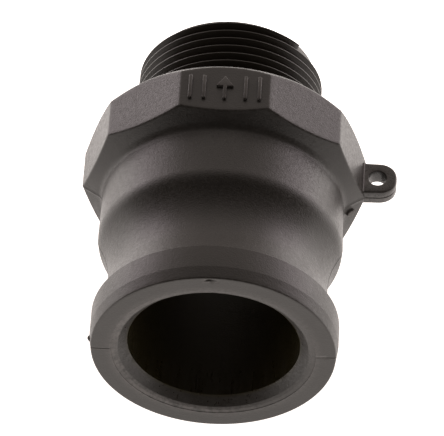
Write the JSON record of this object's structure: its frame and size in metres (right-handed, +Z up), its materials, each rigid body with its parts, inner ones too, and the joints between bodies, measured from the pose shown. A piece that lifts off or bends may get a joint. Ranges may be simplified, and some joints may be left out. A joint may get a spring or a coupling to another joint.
{
  "type": "camlock coupling adapter",
  "caption": "Male cam-and-groove spout with a tapered male pipe thread, a ten-sided wrench collar and a lanyard lug, moulded in black plastic.",
  "frame": {"origin": "centre of the collar's lowest wrench flat, which the adapter lies on", "axes": "+Y along the bore from the mouth to the threaded tail, +Z up from the flat that it lies on to the marked flat, +X towards the lanyard lug"},
  "size_m": [0.0692, 0.0775, 0.0601],
  "materials": {
    "flange_black": "satin moulded black polypropylene",
    "groove_black": "satin moulded black polypropylene",
    "ramp_black": "satin moulded black polypropylene",
    "barrel_black": "fine mottled moulded black polypropylene",
    "collar_black": "fine mottled moulded black polypropylene",
    "thread_black": "smooth, slightly glossy black polypropylene",
    "lug_black": "smooth, slightly glossy black polypropylene",
    "mark_black": "satin moulded black polypropylene",
    "gate_black": "rough snapped black polypropylene"
  },
  "bodies": {
    "root": {"sealing_flange": "flange_black", "groove_neck": "groove_black", "cam_ramp": "ramp_black", "spout_barrel": "barrel_black", "wrench_collar": "collar_black", "threaded_tail": "thread_black", "lanyard_lug": "lug_black", "flow_arrow": "mark_black", "mark_bar_1": "mark_black", "mark_bar_2": "mark_black", "mark_bar_3": "mark_black", "mark_bar_4": "mark_black", "gate_vestige": "gate_black"}
  },
  "joints": []
}
